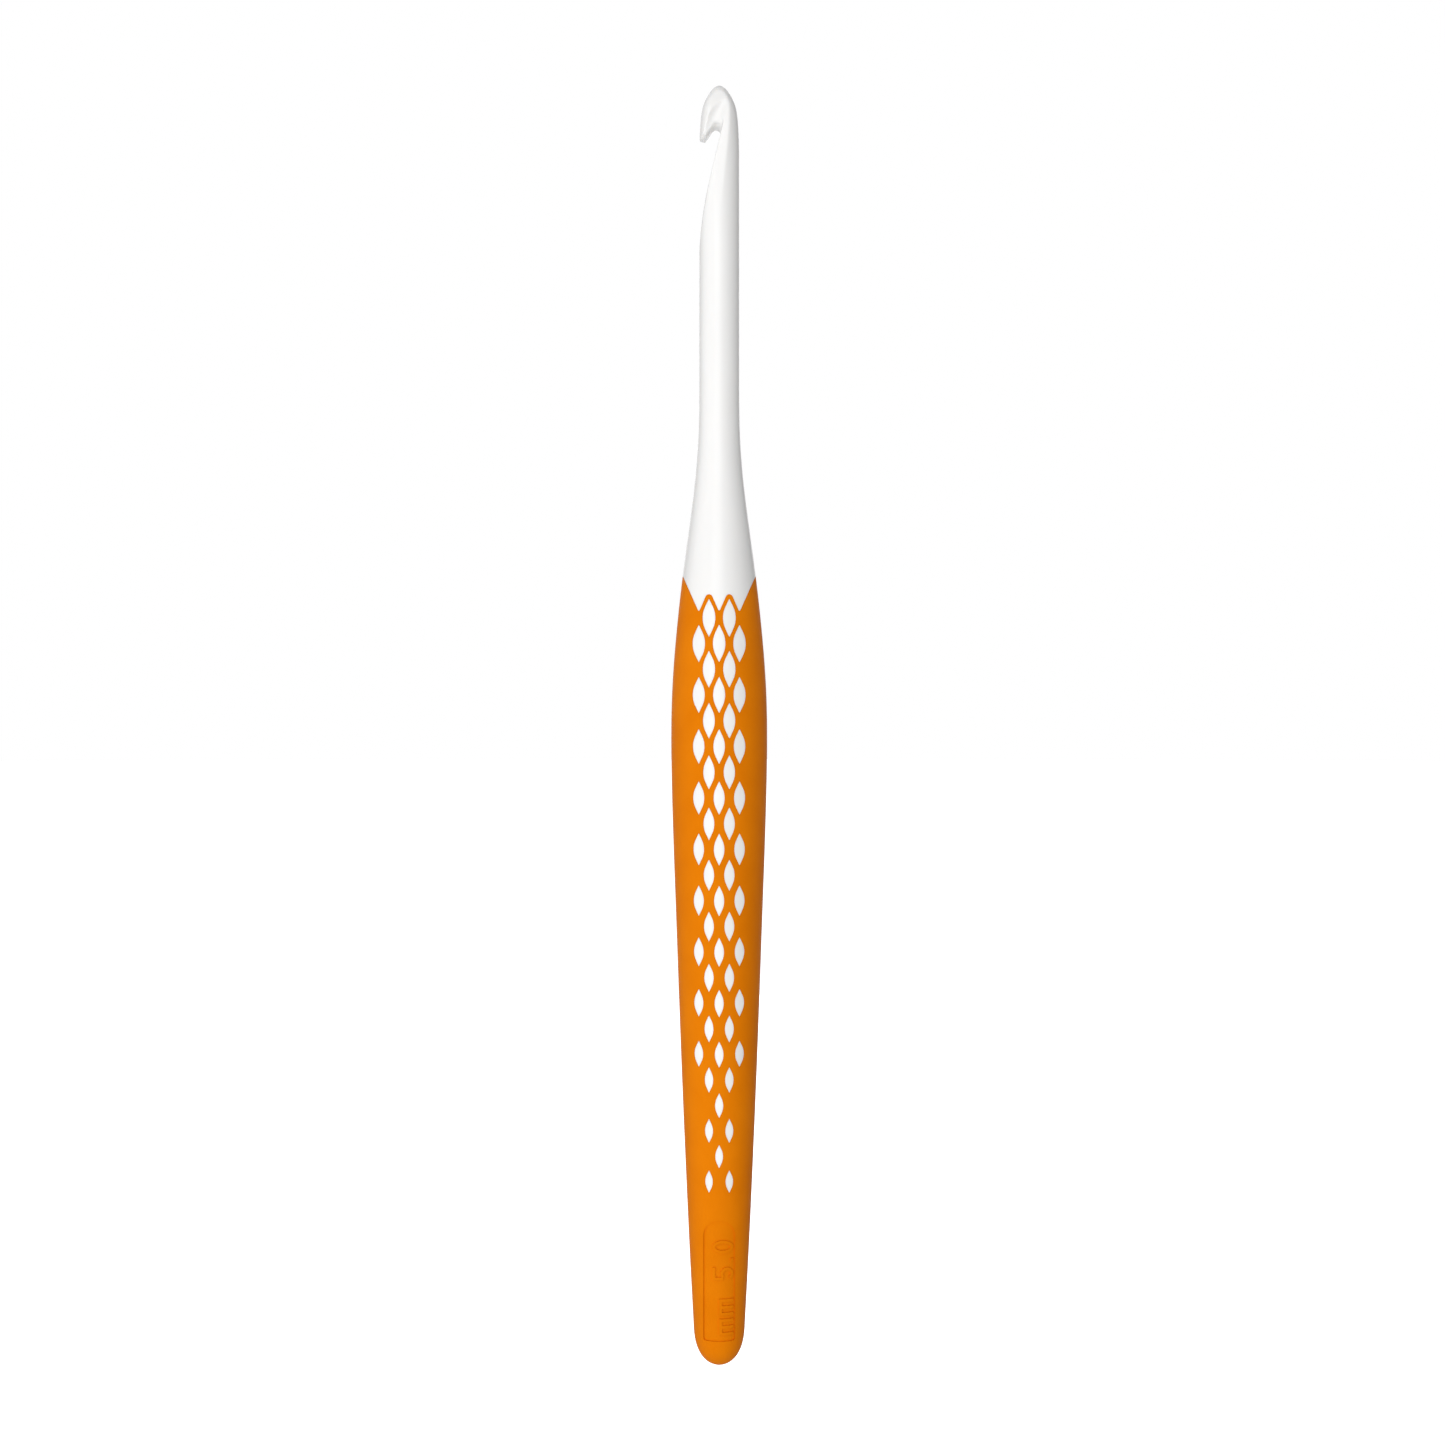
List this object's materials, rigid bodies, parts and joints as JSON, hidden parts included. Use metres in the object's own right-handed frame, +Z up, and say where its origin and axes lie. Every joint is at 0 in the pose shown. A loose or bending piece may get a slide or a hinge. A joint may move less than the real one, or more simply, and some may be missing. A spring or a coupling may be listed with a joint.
{
  "type": "crochet hook",
  "caption": "Crochet hook with a pointed nose, a throat, a round shank and a flared two-shot handle whose soft grip has lozenge windows.",
  "frame": {"origin": "lowest point of the rounded butt, on the hook's axis", "axes": "+Z up the axis from the butt to the tip, the throat opens towards -X, the size mark faces -Y"},
  "size_m": [0.012, 0.012, 0.16],
  "materials": {
    "hard_plastic": "glossy moulded white",
    "soft_grip": "matt soft-touch orange"
  },
  "bodies": {
    "root": {"hook_core": "hard_plastic", "grip_sleeve": "soft_grip"}
  },
  "joints": []
}
